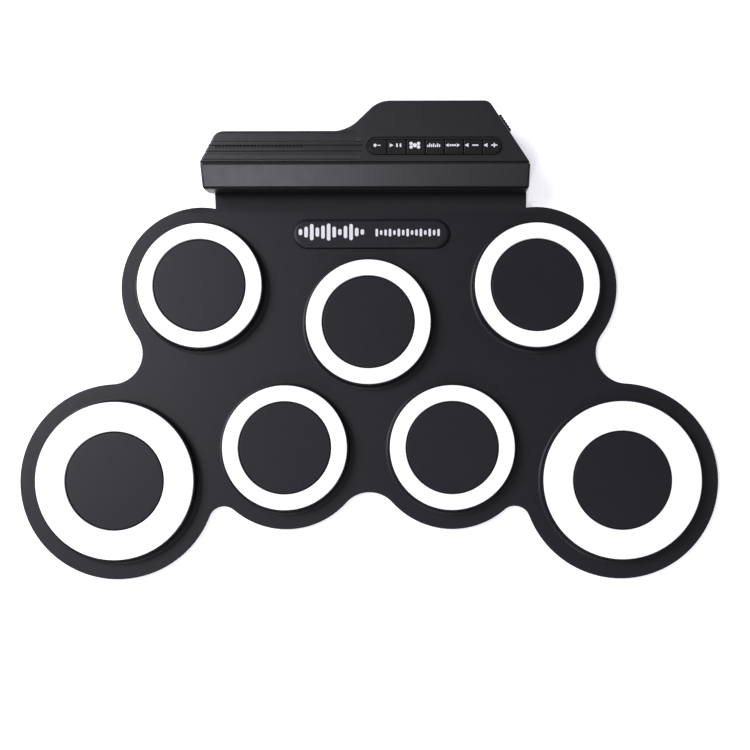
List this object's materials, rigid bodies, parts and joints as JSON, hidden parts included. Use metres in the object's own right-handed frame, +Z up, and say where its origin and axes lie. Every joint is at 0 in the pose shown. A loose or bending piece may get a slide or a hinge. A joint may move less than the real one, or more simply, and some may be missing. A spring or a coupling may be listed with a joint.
{
  "type": "electronic drum pad",
  "caption": "Table-top electronic drum kit: a soft silicone mat with raised round playing pads, clamped into a low control console with keys, sockets and a battery bay.",
  "frame": {"origin": "on the table, under the middle of the footprint", "axes": "+X to the player's right, +Y away from the player towards the console, +Z up"},
  "size_m": [0.4498, 0.298, 0.031],
  "materials": {
    "mat_silicone": "matt silicone sheet",
    "pad_silicone": "matt silicone",
    "ring_silicone": "white silicone inlay",
    "sensor_foil": "copper foil",
    "flex_film": "amber film",
    "case_plastic": "fine moulded texture",
    "fascia_plastic": "satin",
    "key_plastic": "satin",
    "key_rubber": "moulded rubber",
    "dark_plastic": "matt",
    "circuit_board": "solder mask",
    "cell_wrap": "shrink wrap",
    "contact_steel": "nickel plated",
    "socket_steel": "tinned",
    "screw_steel": "zinc plated",
    "foot_rubber": "matt"
  },
  "bodies": {
    "mat_and_console": {"mat_sheet": "mat_silicone", "mat_backing": "mat_silicone", "flex_circuit": "flex_film", "pad_sensor_rear_left": "sensor_foil", "pad_sensor_rear_right": "sensor_foil", "pad_sensor_centre": "sensor_foil", "pad_sensor_middle_left": "sensor_foil", "pad_sensor_middle_right": "sensor_foil", "pad_sensor_front_left": "sensor_foil", "pad_sensor_front_right": "sensor_foil", "top_cover": "case_plastic", "base_shell": "case_plastic", "mat_clamp_bar": "case_plastic", "front_fascia": "fascia_plastic", "battery_cell_1": "cell_wrap", "battery_cell_2": "cell_wrap", "battery_cell_3": "cell_wrap", "battery_contact_left": "contact_steel", "battery_contact_right": "contact_steel", "main_board": "circuit_board", "key_board": "circuit_board", "speaker": "dark_plastic", "flex_connector": "dark_plastic", "power_switch_body": "dark_plastic", "phones_jack": "dark_plastic", "kick_pedal_jack": "dark_plastic", "hihat_pedal_jack": "dark_plastic", "keypad_membrane": "key_rubber", "usb_socket": "socket_steel", "foot_1": "foot_rubber", "foot_2": "foot_rubber", "foot_3": "foot_rubber", "foot_4": "foot_rubber", "case_screw_1": "screw_steel", "case_screw_2": "screw_steel", "case_screw_3": "screw_steel", "case_screw_4": "screw_steel"},
    "pad_rear_left": {"pad_body_rear_left": "pad_silicone", "pad_ring_rear_left": "ring_silicone"},
    "pad_rear_right": {"pad_body_rear_right": "pad_silicone", "pad_ring_rear_right": "ring_silicone"},
    "pad_centre": {"pad_body_centre": "pad_silicone", "pad_ring_centre": "ring_silicone"},
    "pad_middle_left": {"pad_body_middle_left": "pad_silicone", "pad_ring_middle_left": "ring_silicone"},
    "pad_middle_right": {"pad_body_middle_right": "pad_silicone", "pad_ring_middle_right": "ring_silicone"},
    "pad_front_left": {"pad_body_front_left": "pad_silicone", "pad_ring_front_left": "ring_silicone"},
    "pad_front_right": {"pad_body_front_right": "pad_silicone", "pad_ring_front_right": "ring_silicone"},
    "key_record": {"key_record": "key_plastic"},
    "key_play": {"key_play": "key_plastic"},
    "key_kit": {"key_kit": "key_plastic"},
    "key_rhythm": {"key_rhythm": "key_plastic"},
    "key_tempo": {"key_tempo": "key_plastic"},
    "key_volume_down": {"key_volume_down": "key_plastic"},
    "key_volume_up": {"key_volume_up": "key_plastic"},
    "power_switch": {"power_switch_knob": "key_plastic"},
    "battery_door": {"battery_door": "case_plastic"}
  },
  "joints": [
    {"name": "pad_rear_left_press", "type": "slide", "parent": "mat_and_console", "child": "pad_rear_left", "axis": [0, 0, -1], "range_m": [0, 0.0008], "stiffness_N_per_m": 5000, "springref_m": -0.0004},
    {"name": "pad_rear_right_press", "type": "slide", "parent": "mat_and_console", "child": "pad_rear_right", "axis": [0, 0, -1], "range_m": [0, 0.0008], "stiffness_N_per_m": 5000, "springref_m": -0.0004},
    {"name": "pad_centre_press", "type": "slide", "parent": "mat_and_console", "child": "pad_centre", "axis": [0, 0, -1], "range_m": [0, 0.0008], "stiffness_N_per_m": 5000, "springref_m": -0.0004},
    {"name": "pad_middle_left_press", "type": "slide", "parent": "mat_and_console", "child": "pad_middle_left", "axis": [0, 0, -1], "range_m": [0, 0.0008], "stiffness_N_per_m": 5000, "springref_m": -0.0004},
    {"name": "pad_middle_right_press", "type": "slide", "parent": "mat_and_console", "child": "pad_middle_right", "axis": [0, 0, -1], "range_m": [0, 0.0008], "stiffness_N_per_m": 5000, "springref_m": -0.0004},
    {"name": "pad_front_left_press", "type": "slide", "parent": "mat_and_console", "child": "pad_front_left", "axis": [0, 0, -1], "range_m": [0, 0.0008], "stiffness_N_per_m": 5000, "springref_m": -0.0004},
    {"name": "pad_front_right_press", "type": "slide", "parent": "mat_and_console", "child": "pad_front_right", "axis": [0, 0, -1], "range_m": [0, 0.0008], "stiffness_N_per_m": 5000, "springref_m": -0.0004},
    {"name": "key_record_press", "type": "slide", "parent": "mat_and_console", "child": "key_record", "axis": [0, 0, -1], "range_m": [0, 0.0006], "stiffness_N_per_m": 800, "springref_m": -0.0005},
    {"name": "key_play_press", "type": "slide", "parent": "mat_and_console", "child": "key_play", "axis": [0, 0, -1], "range_m": [0, 0.0006], "stiffness_N_per_m": 800, "springref_m": -0.0005},
    {"name": "key_kit_press", "type": "slide", "parent": "mat_and_console", "child": "key_kit", "axis": [0, 0, -1], "range_m": [0, 0.0006], "stiffness_N_per_m": 800, "springref_m": -0.0005},
    {"name": "key_rhythm_press", "type": "slide", "parent": "mat_and_console", "child": "key_rhythm", "axis": [0, 0, -1], "range_m": [0, 0.0006], "stiffness_N_per_m": 800, "springref_m": -0.0005},
    {"name": "key_tempo_press", "type": "slide", "parent": "mat_and_console", "child": "key_tempo", "axis": [0, 0, -1], "range_m": [0, 0.0006], "stiffness_N_per_m": 800, "springref_m": -0.0005},
    {"name": "key_volume_down_press", "type": "slide", "parent": "mat_and_console", "child": "key_volume_down", "axis": [0, 0, -1], "range_m": [0, 0.0006], "stiffness_N_per_m": 800, "springref_m": -0.0005},
    {"name": "key_volume_up_press", "type": "slide", "parent": "mat_and_console", "child": "key_volume_up", "axis": [0, 0, -1], "range_m": [0, 0.0006], "stiffness_N_per_m": 800, "springref_m": -0.0005},
    {"name": "power_switch_slide", "type": "slide", "parent": "mat_and_console", "child": "power_switch", "axis": [-0.5488, 0.836, 0], "range_m": [0, 0.003]},
    {"name": "battery_door_slide", "type": "slide", "parent": "mat_and_console", "child": "battery_door", "axis": [0, 1, 0], "range_m": [0, 0.036]}
  ]
}
